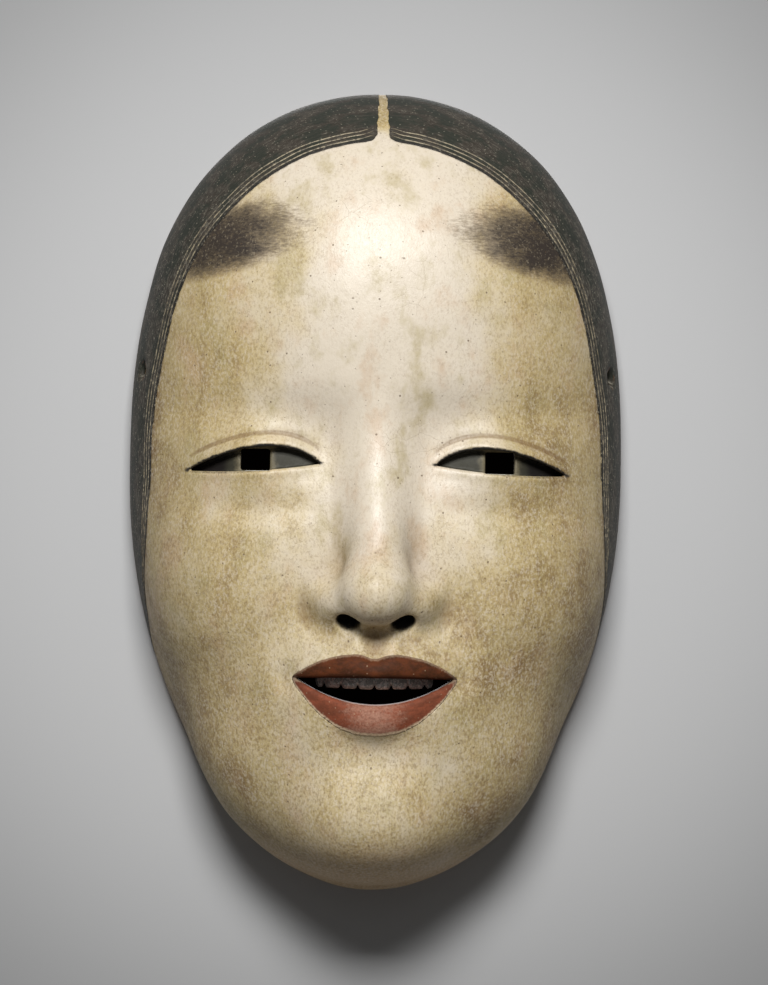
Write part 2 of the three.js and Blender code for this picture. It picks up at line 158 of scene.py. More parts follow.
def eye_sockets(d, x, f, z):
    m = np.abs(x)
    d = smooth_cut(d, ellipsoid(m, f, z, (18.5, 63.8, 12), (14, 12.8, 12)), 10)
    d = d + 1.1 * front(f) * swell(m, z, (35, 20), (19, 5.5))  # under the brow
    d = d - 2.9 * front(f) * swell(m, z, (31.5, 8.5), (15, 8.5))  # the eye under its lids
    return d + 1.0 * front(f) * swell(m, z, (30, -4.5), (15, 4.0))  # below the lids


def nose(d, x, f, z):
    ridge = tapered_rod(x, f, z, (0, 42.5, 24), (0, 58.0, -24), 8.2, 7.4)
    tip = ellipsoid(x, f, z, (0, 58.8, -26), (9.0, 9.5, 7.6))
    wing = ellipsoid(np.abs(x), f, z, (10.2, 51.9, -28.3), (6.1, 7.7, 5.5))
    form = smooth_union(smooth_union(ridge, tip, 6), wing, 5.0)
    d = smooth_union(d, form, 5.0)
    crease = swell(np.abs(x), z, (18.2, -31.0), (2.6, 5.0))
    return d + 0.8 * front(f) * crease


def small_forms(d, x, f, z):
    m = np.abs(x)
    d = d + 1.1 * front(f) * swell(m, z, (0, -39), (2.8, 4.0))  # groove of the upper lip
    d = d - 0.5 * front(f) * swell(m, z, (4.6, -40), (1.8, 3.6))
    return smooth_cut(d, ellipsoid(x, f, z, (0, 69, -68), (20, 13.5, 5.5)), 7)  # under the lower lip


def mouth_top(m):
    return -47.4 - 0.4 * (m / MOUTH_HALF) ** 2


def mouth_low(m):
    return -54.6 + 6.4 * (m / MOUTH_HALF) ** 2


def lips(d, x, f, z):
    m = np.abs(x)
    t = m / MOUTH_HALF
    arch = 55.2 - 6.5 * t * t
    upper_z = -45.1 - 1.1 * np.exp(-((m / 2.6) ** 2)) - 1.8 * t**2.2
    upper = np.sqrt(0.7 * (f - arch) ** 2 + (z - upper_z) ** 2)
    upper = upper - 3.3 * (1 - 0.72 * np.clip(t, 0, 1.1) ** 2.5)
    lower_z = -58.4 + 10.4 * t**2
    lower = np.sqrt(0.75 * (f - arch + 2.2) ** 2 + (z - lower_z) ** 2)
    lower = lower - 4.0 * (1 - 0.7 * np.clip(t, 0, 1.1) ** 2.2)
    ends = MOUTH_HALF + 1 - m
    form = smooth_union(smooth_cut(upper, ends, 3), smooth_cut(lower, ends, 3), 1.0)
    d = smooth_union(d, form, 3.0)
    d = d - 0.6 * front(f, 20, 10) * swell(m, z, (27.5, -46), (5.0, 8))  # fold beside the mouth
    return d + 0.9 * front(f, 20, 10) * swell(m, z, (22.3, -48.3), (3.0, 3.6))  # its corner


def mouth_opening(x, f, z):
    m = np.abs(x)
    gap = np.maximum(np.maximum(z - mouth_top(m), mouth_low(m) - z) * 0.95, (m - MOUTH_HALF) * 0.8)
    return np.maximum(gap, 24 - f)


def slit_edges(m):
    """Heights of the upper and lower edge of the eye slit at a distance m from the middle of the face."""
    t = np.clip((m - EYE_X) / EYE_HALF, -1, 1)
    skew = t + 0.16 * (1 - t * t)
    tail = EYE_Z - 1.1 * t
    return tail + 5.2 * np.clip(1 - skew * skew, 0, 1) ** 0.85, tail - 0.9 * (1 - t * t)


def eyelids(d, x, f, z):
    """Folds the lids and cuts the slit back to the painted eye."""
    m = np.abs(x)
    up, low = slit_edges(m)
    t = (m - EYE_X) / EYE_HALF
    ends = np.clip((1.14 - np.abs(t)) / 0.5, 0, 1)
    ends = ends**2 * (3 - 2 * ends) * front(f, 15, 10)
    over, under = z - up, low - z
    inside = np.maximum(np.maximum(over, under) * 0.85, (np.abs(t) - 1) * EYE_HALF * 0.5)
    pocket = np.maximum(inside, -(d + EYE_BACK))
    d = d - 0.6 * ends * np.exp(-(((over - 1.1) / 1.6) ** 2))  # rim of the upper lid
    d = d + 0.38 * ends * np.exp(-(((over - 3.6) / 0.95) ** 2))  # crease above it
    d = d - 0.25 * ends * np.exp(-(((under - 0.9) / 1.3) ** 2))  # rim of the lower lid
    return smooth_cut(d, pocket, 0.7)


def nostril(x, f, z):
    return tapered_rod(np.abs(x), f, z, (7.2, 60, -35), (5.9, 40, -21.2), 3.0, 2.5)


def pupil(x, f, z):
    across = np.abs(np.abs(x) - EYE_X - PUPIL_SHIFT[0]) - PUPIL[0] / 2
    upright = np.abs(z - EYE_Z - PUPIL_SHIFT[1]) - PUPIL[1] / 2
    return np.maximum(np.maximum(across, upright), 10 - f)


def cord_hole(x, f, z):
    return np.maximum(np.hypot(f - CORD_HOLE[0], z - CORD_HOLE[1]) - CORD_HOLE[2], 40 - np.abs(x))


def hand_of_the_carver(x, z):
    """The small unevenness of a surface worked by eye, and of its two halves."""
    return (
        0.10 * np.sin(x / 8.3 + z / 21 + 1.2) * np.sin(z / 9.7 - x / 31)
        + 0.06 * np.sin(x / 3.9 - z / 7.1) * np.sin(z / 4.3 + x / 6.1)
        + 0.25 * np.sin(x / 41 + 0.7) * np.sin(z / 33 + 0.4)
    )


def untouched(x, f, z):
    """The outside of the face before anything is pierced, cut or folded."""
    d = head_forms(x, f, z)
    d = eye_sockets(d, x, f, z)
    d = nose(d, x, f, z)
    d = small_forms(d, x, f, z)
    return lips(d, x, f, z) + hand_of_the_carver(x, z) * front(f, 2, 10)


def face(x, f, z):
    """The outside of the face, with its slits, holes and mouth, closed by the rim plane."""
    d = smooth_cut(untouched(x, f, z), mouth_opening(x, f, z), 1.3)
    d = smooth_cut(d, nostril(x, f, z), 1.4)
    d = eyelids(d, x, f, z)
    d = smooth_cut(d, pupil(x, f, z), 0.5)
    d = smooth_cut(d, cord_hole(x, f, z), 0.9)
    return smooth_cut(d, f, 0.6)


def gouge_marks(x, z):
    """Rows of shallow scoops that the gouge leaves at the back."""
    row = z / 11.0 + 0.25 * np.sin(x / 17)
    column = x / 6.5 + 0.5 * (np.floor(row) % 2) + 0.2 * np.sin(row * 2.1)
    across, along = 2 * (column % 1) - 1, 2 * (row % 1) - 1
    return 0.42 * (1 - across**2) * (1 - along**4)


def hollow(x, f, z):
    """The hollow that the wearer's face goes into."""
    d = egg(x, f, z, HALF_WIDTH - RIM, EGG_DEPTH - RIM - 0.5, CROWN_Z - RIM)
    d = smooth_union(d, ellipsoid(x, f, z, (0, 16, -60), (36, 30, 34)), 10)
    d = smooth_union(d, ellipsoid(x, f, z, (0, 34, -18), (11, 14, 20)), 8)
    return d - gouge_marks(x, z) * front(f, 3, 8)


def block(x, f, z):
    """The bare cypress block under its coats."""
    d = smooth_cut(face(x, f, z) + COAT * front(f, -0.2, 0.6), hollow(x, f, z) - LACQUER, 1.5)
    return smooth_cut(d, f, 0.5)


def teeth(x, f, z):
    """A row of upper teeth on the arch behind the lip."""
    arch = 51.0 - 7.0 * (x / MOUTH_HALF) ** 2
    pitch = 4.3
    beside = np.abs((x / pitch) % 1 - 0.5) * pitch  # largest between two teeth
    gap = 0.5 * np.exp(-(((pitch / 2 - beside) / 0.36) ** 2))
    foot = -50.6 + 0.6 * (beside / pitch * 2) ** 6 + 0.35 * (x / 15) ** 2
    lean = 0.15 * (z + 48)
    thick = np.abs(f - arch + lean) - 1.7
    body = smooth_cut(smooth_cut(thick, z - foot, 1.4), -44.5 - z, 1.0)
    return smooth_cut(body + gap, 15.2 - np.abs(x), 1.5)


# ------------ painted edges


def smooth_curve(at, knots, values):
    """A curve through the knots, with even slopes."""
    slopes = np.gradient(np.asarray(values, float), knots)
    at = np.clip(at, knots[0], knots[-1])
    i = np.clip(np.searchsorted(knots, at, side="right") - 1, 0, len(knots) - 2)
    knots, values = np.asarray(knots, float), np.asarray(values, float)
    width = knots[i + 1] - knots[i]
    t = (at - knots[i]) / width
    a, b = values[i], values[i + 1]
    return (
        a * (1 + 2 * t) * (1 - t) ** 2
        + slopes[i] * width * t * (1 - t) ** 2
        + b * t * t * (3 - 2 * t)
        + slopes[i + 1] * width * t * t * (t - 1)
    )


HAIR_TAIL = -37.0
HAIRLINE_TURNS = (HAIR_TAIL, -28, -18, 0, 20, 40, 60, 78, 90)  # degrees above the horizontal
HAIRLINE_TILTS = (88.5, 78.0, 70.5, 66.6, 67.0, 65.2, 64.6, 65.6, 66.2)  # degrees from straight ahead
PARTING_TOP, PARTING_FOOT = 0.95, 1.6  # half widths


def around(x, f, z):
    """Turn above the horizontal, tilt from straight ahead, both in degrees, and distance from the origin."""
    r = np.sqrt(x * x + f * f + z * z) + 1e-6
    return np.degrees(np.arctan2(z, np.abs(x))), np.degrees(np.arccos(np.clip(f / r, -1, 1))), r


def from_hairline(x, f, z):
    """How far past the hairline a point lies, in millimetres along the surface."""
    turn, tilt, r = around(x, f, z)
    return np.radians(tilt - smooth_curve(turn, HAIRLINE_TURNS, HAIRLINE_TILTS)) * r * 1.02


def brush_wobble(along, size):
    """The unsteadiness of a brushed edge."""
    return size * (np.sin(along * 0.9) + 0.7 * np.sin(along * 1.7 + 1) + 0.4 * np.sin(along * 2.9 + 2)) / 2


def on_hair(points):
    """Positive on the painted hair."""
    x, f, z = points.T
    turn, _, r = around(x, f, z)
    edge = from_hairline(x, f, z) + brush_wobble(z + x, 0.07)
    down = np.clip((CROWN_Z - z) / 12, 0, 1)
    half = PARTING_TOP + (PARTING_FOOT - PARTING_TOP) * down + brush_wobble(z * 1.7 + np.sign(x), 0.24)
    beside = np.abs(x - 0.25) - half
    tail = np.radians(turn - HAIR_TAIL) * r
    painted = smooth_union(smooth_union(edge, beside, 3.0), tail, 2.0)
    return np.minimum(painted, 1.6 - depth_of(points))


def lip_peak(m):
    return -41.3 - 1.3 * np.exp(-((m / 2.9) ** 2)) - 6.1 * (m / 21) ** 2.7


def lip_foot(m):
    return -62.3 + 13.5 * (m / 21) ** 2.3


def mouth_middle(m):
    return (mouth_top(m) + mouth_low(m)) / 2


def on_lip(upper):
    """Positive on the paint of one lip, which runs a little way into the mouth."""

    def side(points):
        x, f, z = points.T
        m = np.abs(x)
        wobble = brush_wobble(x * 1.3, 0.08)
        edge = lip_peak(m) - z + wobble if upper else z - lip_foot(m) + wobble
        inward = z - mouth_middle(m) if upper else mouth_middle(m) - z
        return np.minimum.reduce([edge, inward, LIP_HALF - m, 6.0 - depth_of(points), f - 30])

    return side


def on_eye(points):
    """Positive on the painted surface of an eye and a little way into its pupil."""
    x, _, z = points.T
    depth = depth_of(points)
    beside, above = np.abs(np.abs(x) - EYE_X), np.abs(z - EYE_Z)
    return np.minimum.reduce([depth - 1.7, 6.5 - depth, EYE_HALF + 2 - beside, 9 - above])


def lid_ink_and_nostril_shade(x, f, z):
    """How much black is laid on the ground: a brushed ink line along the lids, and painted shade in the
    nostrils.
    """
    m = np.abs(x)
    up, low = slit_edges(m)
    t = (m - EYE_X) / EYE_HALF
    near = np.clip((1.12 - np.abs(t)) * 10, 0, 1)
    upper = near * np.clip(1.3 - np.abs(z - up - 0.25 + brush_wobble(x, 0.12)) / 0.62, 0, 1)
    lower = near * np.clip(1.1 - np.abs(z - low + 0.3) / 0.5, 0, 1) * np.clip(t + 0.6, 0.1, 0.7)
    # painted shade: the inside of each nostril is painted black so that it looks dark
    holes = np.clip(0.9 - nostril(x, f, z) / 0.9, 0, 1)
    return np.maximum(np.maximum(upper, lower), holes) * (f > 30)


def in_hollow(points):
    """Positive on the wall of the hollow, up to a little way from the rim."""
    return np.minimum(1.0 - np.abs(hollow(*points.T) - LACQUER), points[:, 1] - 0.35)


def depth_of(points):
    """How deep a point lies under the untouched face."""
    return -untouched(*points.T)


def on_ground(points):
    """Positive on the shell-white ground that no colour covers."""
    x, f, z = points.T
    depth = depth_of(points)
    m = np.abs(x)
    mouth_wall = np.minimum.reduce([LIP_HALF - m, z - lip_foot(m), lip_peak(m) - z])
    others = [on_hair(points), on_lip(True)(points), on_lip(False)(points), on_eye(points), mouth_wall]
    return np.minimum.reduce([-np.maximum.reduce(others), 7.0 - depth, f - 0.25])


# ------------ from fields to meshes


def graded_lines(low, high, fine_from, fine_to, fine, coarse):
    """Grid lines, `fine` apart in the middle stretch and growing to `coarse` outside it."""
    lines = list(np.arange(fine_from, fine_to + fine / 2, fine))
    for end, grow in ((high, 1), (low, -1)):
        step = fine
        while lines[-1] * grow < end * grow:
            step = min(step * 1.12, coarse)
            lines.append(lines[-1] + grow * step)
        lines.reverse()
    return np.array(lines)


def sampled(field, lines, reach=6.0, coarse=3.0):
    """The field on a grid, worked out near its surface only, and coarsely farther off."""
    rough = [np.arange(line[0], line[-1] + coarse, coarse) for line in lines]
    rough_values = field(*np.meshgrid(*rough, indexing="ij", sparse=True))
    picks = [np.rint((line - line[0]) / coarse).astype(int) for line in lines]
    values = rough_values[np.ix_(*picks)].astype(np.float32)
    near = np.nonzero(np.abs(values) < reach)
    exact = np.empty(len(near[0]), np.float32)
    at_a_time = 200_000
    for start in range(0, len(exact), at_a_time):
        part = slice(start, start + at_a_time)
        exact[part] = field(*[line[i[part]] for line, i in zip(lines, near)])
    values[near] = exact
    return values


def surface_nets(values, lines):
    """One point in each grid cell that the surface crosses, and a quad for each edge that it crosses."""
    size = np.array(values.shape)
    inside = values < 0
    corners = np.zeros(size - 1, np.uint8)
    for i, j, k in np.ndindex(2, 2, 2):
        corners += inside[i : size[0] - 1 + i, j : size[1] - 1 + j, k : size[2] - 1 + k]
    active = (corners > 0) & (corners < 8)
    cells = np.argwhere(active)
    number = np.full(active.shape, -1, np.int32)
    number[active] = np.arange(len(cells))
    return crossing_points(values, lines, cells), crossing_quads(inside, number)


def crossing_points(values, lines, cells):
    """The mean of the points where the surface crosses each cell's edges."""
    total, hits = np.zeros((len(cells), 3)), np.zeros(len(cells))
    unit = np.eye(3, dtype=int)
    for axis in range(3):
        one, other = [unit[a] for a in range(3) if a != axis]
        for i, j in np.ndindex(2, 2):
            start = cells + i * one + j * other
            at_start = values[tuple(start.T)].astype(float)
            at_end = values[tuple((start + unit[axis]).T)].astype(float)
            crossed = (at_start < 0) != (at_end < 0)
            part = np.where(crossed, at_start / np.where(crossed, at_start - at_end, 1), 0)
            place = (start - cells).astype(float)
            place[:, axis] += part
            total += place * crossed[:, None]
            hits += crossed
    local = total / hits[:, None]
    low = np.stack([line[i] for line, i in zip(lines, cells.T)], 1)
    high = np.stack([line[i + 1] for line, i in zip(lines, cells.T)], 1)
    return low + local * (high - low)


def crossing_quads(inside, number):
    quads = []
    for axis in range(3):
        u, v = [a for a in range(3) if a != axis]
        low, high = [slice(1, -1)] * 3, [slice(1, -1)] * 3
        low[axis], high[axis] = slice(0, -1), slice(1, None)
        before, after = inside[tuple(low)], inside[tuple(high)]
        at = np.argwhere(before != after)
        at[:, [u, v]] += 1
        leaving = before[before != after]
        corners = []
        for du, dv in ((1, 1), (0, 1), (0, 0), (1, 0)):
            cell = at.copy()
            cell[:, u] -= du
            cell[:, v] -= dv
            corners.append(number[tuple(cell.T)])
        quad = np.stack(corners, 1)
        turned = leaving if axis == 1 else ~leaving
        quad[turned] = quad[turned][:, ::-1]
        quads.append(quad)
    return np.concatenate(quads)


def slope_of(field, points, step=0.04):
    """The field's value and gradient at points."""
    x, f, z = points.T
    here = field(x, f, z)
    ahead = [field(x + step, f, z), field(x, f + step, z), field(x, f, z + step)]
    return here, (np.stack(ahead, 1) - here[:, None]) / step


def onto_surface(field, points):
    value, slope = slope_of(field, points)
    move = np.clip(value / ((slope**2).sum(1) + 1e-3), -0.5, 0.5)
    return points - move[:, None] * slope


def evened(field, points, quads, rounds=2):
    """Spreads the points evenly along the surface."""
    one = quads.ravel()
    other = np.roll(quads, -1, axis=1).ravel()
    ends, others = np.concatenate([one, other]), np.concatenate([other, one])
    count = np.bincount(ends, minlength=len(points))[:, None]
    for _ in range(rounds):
        total = [np.bincount(ends, points[others, k], len(points)) for k in range(3)]
        points = onto_surface(field, points + 0.5 * (np.stack(total, 1) / count - points))
    return points


def surface_of(field, lines, rounds=2):
    """The field's surface as points and triangles."""
    points, quads = surface_nets(sampled(field, lines), lines)
    points = evened(field, onto_surface(field, points), quads, rounds)
    a, b, c, d = (points[quads[:, k]] for k in range(4))
    short = ((a - c) ** 2).sum(1) <= ((b - d) ** 2).sum(1)
    first = np.where(short[:, None], quads[:, [0, 1, 2]], quads[:, [0, 1, 3]])
    second = np.where(short[:, None], quads[:, [0, 2, 3]], quads[:, [1, 2, 3]])
    return points, np.concatenate([first, second])


def clipped(points, triangles, side):
    """The part of a surface where side is positive, cut along its edge."""
    value = side(points)
    keep = value > 0
    count = keep[triangles].sum(1)
    cut = triangles[(count == 1) | (count == 2)]
    alone = keep[cut] == (keep[cut].sum(1) == 1)[:, None]
    order = (alone.argmax(1)[:, None] + np.arange(3)) % 3
    cut = np.take_along_axis(cut, order, 1)  # the corner that differs comes first
    pairs = np.sort(np.concatenate([cut[:, [0, 1]], cut[:, [0, 2]]]), axis=1)
    edges, which = np.unique(pairs, axis=0, return_inverse=True)
    at, to = edges.T
    part = np.clip(value[at] / (value[at] - value[to]), 0.03, 0.97)[:, None]
    crossings = points[at] + part * (points[to] - points[at])
    one, other = (which.ravel() + len(points)).reshape(2, -1)
    single = keep[cut[:, 0]]
    corner = np.stack([cut[:, 0], one, other], 1)[single]
    half_a = np.stack([one, cut[:, 1], cut[:, 2]], 1)[~single]
    half_b = np.stack([one, cut[:, 2], other], 1)[~single]
    triangles = np.concatenate([triangles[count == 3], corner, half_a, half_b])
    used, renumbered = np.unique(triangles, return_inverse=True)
    return np.concatenate([points, crossings])[used], renumbered.reshape(triangles.shape)


def shell(field, points, triangles, proud, depth):
    """A closed coat on a surface: its outside stands `proud` of it and its inside lies `depth` under it.
    Returns points and triangles."""
    _, slope = slope_of(field, points)
    normal = slope / (np.linalg.norm(slope, axis=1, keepdims=True) + 1e-9)
    count = len(points)
    edges = np.concatenate([triangles[:, [0, 1]], triangles[:, [1, 2]], triangles[:, [2, 0]]])
    keys = edges.min(1).astype(np.int64) * count + edges.max(1)
    _, where, times = np.unique(keys, return_index=True, return_counts=True)
    a, b = edges[where[times == 1]].T
    walls = np.concatenate([np.stack([b, a, a + count], 1), np.stack([b, a + count, b + count], 1)])
    inside = triangles[:, ::-1] + count
    smooth = np.repeat([True, False], [2 * len(triangles), len(walls)])
    both = np.concatenate([points + proud * normal, points - depth * normal])
    return both, np.concatenate([triangles, inside, walls]), smooth


def bend_of(field, points, reach):
    """How the surface bends over a reach: above 0 on ridges and edges, below 0 in creases."""
    x, f, z = points.T
    near = 0
    for r in (-reach, reach):
        near = near + (field(x + r, f, z) + field(x, f + r, z) + field(x, f, z + r))
    return (near - 6 * field(x, f, z)) / reach


# ------------ Blender objects


def mesh_object(name, points, triangles, smooth=True, attributes=None):
    """A piece in the frame's metres. Attributes are numbers at its points, for its material."""
    mesh = bpy.data.meshes.new(name)
    placed = np.stack([points[:, 0], -points[:, 1], points[:, 2]], 1) / MM
    mesh.vertices.add(len(placed))
    mesh.vertices.foreach_set("co", placed.astype(np.float32).ravel())
    mesh.loops.add(triangles.size)
    mesh.loops.foreach_set("vertex_index", triangles[:, ::-1].astype(np.int32).ravel())
    mesh.polygons.add(len(triangles))
    mesh.polygons.foreach_set("loop_start", np.arange(0, triangles.size, 3, dtype=np.int32))
    mesh.polygons.foreach_set("use_smooth", np.full(len(triangles), smooth))
    for key, values in (attributes or {}).items():
        layer = mesh.attributes.new(key, "FLOAT", "POINT")
        layer.data.foreach_set("value", np.asarray(values, np.float32))
    mesh.update()
    mesh.validate()
    piece = bpy.data.objects.new(name, mesh)
    bpy.context.scene.collection.objects.link(piece)
    return piece


def finished(piece, material, slot, *nodes):
    piece.data.materials.append(material)
    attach(piece, "root")
    if nodes:
        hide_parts(*nodes)


def coat_piece(name, surface, side, proud=0.0):
    """One coat of paint or ground, closed, with what its material needs to know of the shape."""
    points, triangles = clipped(*surface, side)
    turn, _, r = around(*points.T)
    attributes = {
        "edge": bend_of(face, points, 0.9),
        "form": bend_of(face, points, 3.5),
        "lid_ink_and_nostril_shade": lid_ink_and_nostril_shade(*points.T),
        "across": from_hairline(*points.T),
        "border": side(points),
        "along": np.radians(turn) * r,
    }
    doubled = {key: np.tile(values, 2) for key, values in attributes.items()}
    return mesh_object(name, *shell(face, points, triangles, proud, COAT + COAT_KEY), doubled)


def side_of(sign, other):
    return lambda points: np.minimum(other(points), sign * points[:, 0])


# ------------ hair strands


def surface_point(turn, tilt, side):
    """The point of the face at a turn above the horizontal and a tilt from straight ahead."""
    turn, tilt = np.radians(turn), np.radians(tilt)
    way = np.stack([side * np.sin(tilt) * np.cos(turn), np.cos(tilt), np.sin(tilt) * np.sin(turn)], 1)
    r = np.full(len(way), 85.0)  # a first guess at the distance
    for _ in range(30):
        r = r - 0.8 * untouched(*(way * r[:, None]).T)
    return way * r[:, None]


STRAND_STARTS = (88.55, 88.5, 88.35)  # turns, beside the parting
STRAND_ENDS = (-27.0, -22.0, -16.0)
STRAND_OFFSETS = (1.15, 2.55, 3.95)  # from the hairline
STRAND_WIDTH, STRAND_PROUD, STRAND_DEPTH = 0.38, 0.12, 0.3
STRAND_POINTS, STRAND_SIDES = 260, 8


def strand(offset, start, end, side):
    """One fine line of uncovered ground that runs beside the hairline: a low, narrow ridge."""
    turns = np.linspace(start, end, STRAND_POINTS)
    edge = smooth_curve(turns, HAIRLINE_TURNS, HAIRLINE_TILTS)
    curl = 0.9 * np.exp(-(((start - turns) / 1.2) ** 2))
    radius = np.linalg.norm(surface_point(turns, edge, side), axis=1)
    wobble = brush_wobble(turns * 0.8 + offset, 0.07)
    line = surface_point(turns, edge + np.degrees((offset + curl + wobble) / radius), side)
    _, normal = slope_of(untouched, line)
    normal /= np.linalg.norm(normal, axis=1, keepdims=True)
    along = np.gradient(line, axis=0)
    along /= np.linalg.norm(along, axis=1, keepdims=True)
    across = np.cross(along, normal)
    steps = np.arange(STRAND_POINTS)
    from_end = np.minimum(steps, steps[::-1] / 4)
    thin = np.clip(from_end / 6, 0.05, 1) * (1 + 0.25 * brush_wobble(turns * 2.3 + 5 * offset, 1.0))
    angles = np.linspace(0, 2 * np.pi, STRAND_SIDES, endpoint=False)
    height = np.where(np.sin(angles) > 0, STRAND_PROUD, STRAND_DEPTH) * np.sin(angles)
    rings = (
        (line + HAIR_PROUD * normal)[:, None]
        + (0.5 * STRAND_WIDTH * thin)[:, None, None] * np.cos(angles)[None, :, None] * across[:, None]
        + height[None, :, None] * normal[:, None]
    )
    return tube(rings)


def tube(rings):
    """Closed rings joined one after another, with a point at each end and its triangles facing out."""
    count, sides, _ = rings.shape
    number = np.arange(count * sides).reshape(count, sides)
    a, b = number[:-1], np.roll(number[:-1], -1, axis=1)
    c, d = np.roll(number[1:], -1, axis=1), number[1:]
    wall = np.concatenate([np.stack([a, b, c], 2).reshape(-1, 3), np.stack([a, c, d], 2).reshape(-1, 3)])
    first, last = count * sides, count * sides + 1
    start = np.stack([np.full(sides, first), np.roll(number[0], -1), number[0]], 1)
    end = np.stack([np.full(sides, last), number[-1], np.roll(number[-1], -1)], 1)
    points = np.concatenate([rings.reshape(-1, 3), rings[0].mean(0)[None], rings[-1].mean(0)[None]])
    triangles = np.concatenate([wall, start, end])
    a, b, c = points[triangles].transpose(1, 0, 2)
    volume = (np.cross(b, c) * a).sum()
    return points, triangles if volume > 0 else triangles[:, ::-1]


def strands(name, side):
    made = [strand(*each, side) for each in zip(STRAND_OFFSETS, STRAND_STARTS, STRAND_ENDS)]
    starts = np.cumsum([0] + [len(points) for points, _ in made])
    points = np.concatenate([points for points, _ in made])
    triangles = np.concatenate([triangles + start for (_, triangles), start in zip(made, starts)])
    return mesh_object(name, points, triangles)


# ------------ materials

# Colours are linear.
IVORY = (0.640, 0.562, 0.450)
CREAM = (0.53, 0.42, 0.215)
TAN = (0.350, 0.250, 0.095)
OLIVE = (0.36, 0.29, 0.125)
ROSE = (0.48, 0.32, 0.19)
PATINA = (0.175, 0.100, 0.038)
SOOT = (0.026, 0.019, 0.015)
BARE_WOOD = (0.22, 0.115, 0.055)
INK = (0.016, 0.014, 0.013)


def combining(operation):
    """A method of Number that runs one operation of the Math node."""
    return lambda self, other=0: self.paint.math(operation, self, other)


class Number:
    """A number that varies over a surface, as a node socket with arithmetic."""

    def __init__(self, paint, socket):
        self.paint, self.socket = paint, socket

    __add__ = __radd__ = combining("ADD")
    __sub__ = combining("SUBTRACT")
    __mul__ = __rmul__ = combining("MULTIPLY")
    __truediv__ = combining("DIVIDE")
    __pow__ = combining("POWER")
    abs = combining("ABSOLUTE")
    most = combining("MAXIMUM")
    least = combining("MINIMUM")

    def __rsub__(self, other):
        return self.paint.math("SUBTRACT", other, self)

    def rise(self, start, end):
        """0 up to start, 1 from end, and smooth between them. It falls if end is the lower."""
        from_to = {"Value": self, "From Min": min(start, end), "From Max": max(start, end)}
        from_to["To Min"], from_to["To Max"] = (0, 1) if start < end else (1, 0)
        made = self.paint.node("ShaderNodeMapRange", from_to, interpolation_type="SMOOTHSTEP")
        return Number(self.paint, made.outputs["Result"])


class Paint:
    """A material in the making: the colour laid so far, and patterns for it. Lengths are in millimetres."""

    def __init__(self, name, colour):
        self.colour = colour
        self.material = bpy.data.materials.new(name)
        self.material.use_nodes = True
        self.tree = self.material.node_tree
        self.shader = self.tree.nodes["Principled BSDF"]
        metres = self.node("ShaderNodeTexCoord").outputs["Object"]
        self.place = self.node("ShaderNodeVectorMath", {0: metres, "Scale": MM}, operation="SCALE").outputs[0]
        split = self.node("ShaderNodeSeparateXYZ", {0: self.place})
        self.x, self.y, self.z = (Number(self, socket) for socket in split.outputs)

    def node(self, kind, inputs=(), **settings):
        """A node with its settings, and what goes into its sockets."""
        made = self.tree.nodes.new(kind)
        for key, value in settings.items():
            setattr(made, key, value)
        for key, value in dict(inputs).items():
            self.put(value, made.inputs[key])
        return made

    def put(self, value, socket):
        """Links a number or another socket to a socket, or writes a plain value on it."""
        if isinstance(value, Number):
            value = value.socket
        if isinstance(value, bpy.types.NodeSocket):
            self.tree.links.new(value, socket)
        elif socket.type == "RGBA":
            socket.default_value = (*value, 1)
        else:
            socket.default_value = value

    def math(self, operation, a, b):
        return Number(self, self.node("ShaderNodeMath", {0: a, 1: b}, operation=operation).outputs[0])

    def stretched(self, x, y, z, shift=0.0):
        """The place, with each direction's features made that many times as long."""
        terms = {0: self.place, 1: (1 / x, 1 / y, 1 / z), 2: (shift, shift * 0.7, -shift)}
        return self.node("ShaderNodeVectorMath", terms, operation="MULTIPLY_ADD").outputs[0]

    def plane(self, u, v):
        return self.node("ShaderNodeCombineXYZ", {0: u, 1: v}).outputs[0]

    def skin(self):
        """The place spread flat: as seen from the front, and drawn out where the surface turns to the rim."""
        spread = self.y / 60 + 1.92
        return self.plane(self.x * spread, self.z * spread)

    def noise(self, size, detail=3.0, rough=0.55, place=None):
        """Noise from 0 to 1 whose features are about `size` across. Its place can be given as a stretch."""
        if isinstance(place, tuple):
            place = self.stretched(*place)
        inputs = {"Vector": place or self.place, "Scale": 1 / size, "Detail": detail, "Roughness": rough}
        return Number(self, self.node("ShaderNodeTexNoise", inputs).outputs["Fac"])

    def cells(self, size, place, feature):
        """Scattered cells, and the distance from the middle of each or from the borders between them."""
        inputs = {"Vector": place, "Scale": 1 / size}
        made = self.node("ShaderNodeTexVoronoi", inputs, feature=feature, voronoi_dimensions="2D")
        return made, Number(self, made.outputs["Distance"]) * size

    def shape(self, name):
        """A number that the mesh carries at its points."""
        return Number(self, self.node("ShaderNodeAttribute", attribute_name=name).outputs["Fac"])

    def lay(self, amount, colour):
        """Lays a colour over those so far: none of it where amount is 0, all of it where it is 1."""
        made = self.node("ShaderNodeMix", {"Factor": amount}, data_type="RGBA")
        below, above = [socket for socket in made.inputs if socket.type == "RGBA"]
        self.put(self.colour, below)
        self.put(colour, above)
        self.colour = [socket for socket in made.outputs if socket.type == "RGBA"][0]

    def relief(self, height):
        """Bump from a height in millimetres."""
        made = self.node("ShaderNodeBump", {"Distance": 1 / MM, "Height": height})
        self.put(made.outputs["Normal"], self.shader.inputs["Normal"])

    def done(self, roughness, shine=0.5):
        """The material, with the colour that has been laid."""
        self.put(self.colour, self.shader.inputs["Base Color"])
        self.put(roughness, self.shader.inputs["Roughness"])
        self.shader.inputs["Specular IOR Level"].default_value = shine
        return self.material


def speckle(paint, place, size, soft):
    """Fine grains of about that size, some of them strong and most of them faint."""
    return paint.noise(size, 2.0, 0.7, place).rise(0.5 - soft * 0.2, 0.5 + soft)


